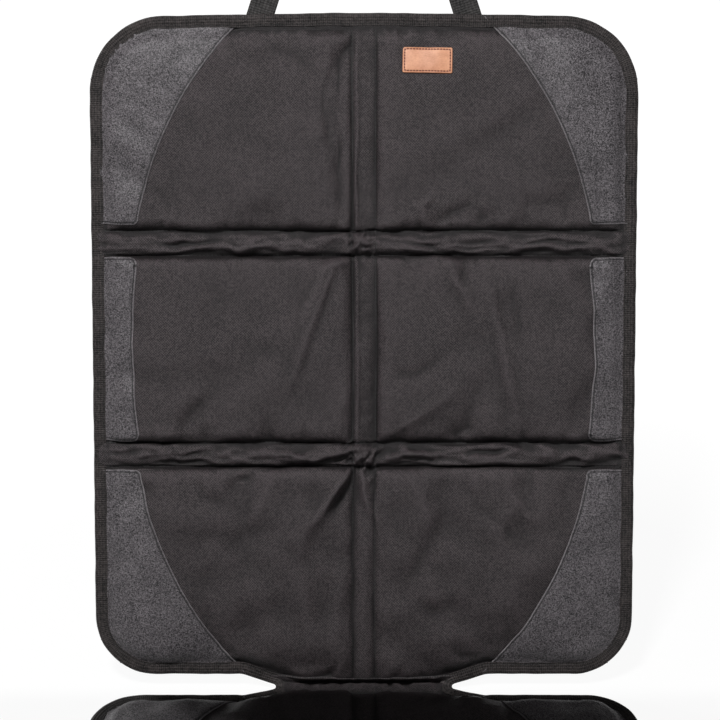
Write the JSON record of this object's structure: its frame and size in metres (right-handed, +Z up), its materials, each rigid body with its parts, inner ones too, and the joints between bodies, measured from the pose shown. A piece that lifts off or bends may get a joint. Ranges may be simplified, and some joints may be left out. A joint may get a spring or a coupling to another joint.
{
  "type": "car seat protector",
  "caption": "Quilted black cloth mat folded over a car seat: back and seat sections of foam-filled pads, grey leather-look corner patches, bound edge, small tan label and a headrest loop.",
  "frame": {"origin": "middle of the bounding box in X and Y, at the underside of the seat section", "axes": "+Z up, +Y from the seat section's front edge towards the back section, +X to the right as seen from the front"},
  "size_m": [0.48, 0.7404, 0.6865],
  "materials": {
    "cloth": "matte woven cloth with a slight sheen",
    "backing": "matte, non-slip",
    "foam": "closed-cell foam",
    "patch": "fine pebble grain, satin",
    "binding": "ribbed tape, matte",
    "webbing": "woven webbing, matte",
    "label": "smooth tan leather, bare"
  },
  "bodies": {
    "root": {"front_cloth": "cloth", "backing_cloth": "backing", "edge_binding": "binding", "headrest_strap": "webbing", "leather_label": "label", "foam_back_top_left": "foam", "foam_back_top_right": "foam", "foam_back_middle_left": "foam", "foam_back_middle_right": "foam", "foam_back_bottom_left": "foam", "foam_back_bottom_right": "foam", "foam_seat_rear_left": "foam", "foam_seat_rear_right": "foam", "foam_seat_front_left": "foam", "foam_seat_front_right": "foam", "patch_back_top_left": "patch", "patch_back_top_right": "patch", "patch_back_middle_left": "patch", "patch_back_middle_right": "patch", "patch_back_bottom_left": "patch", "patch_back_bottom_right": "patch", "patch_seat_rear_left": "patch", "patch_seat_rear_right": "patch", "patch_seat_front_left": "patch", "patch_seat_front_right": "patch"}
  },
  "joints": []
}
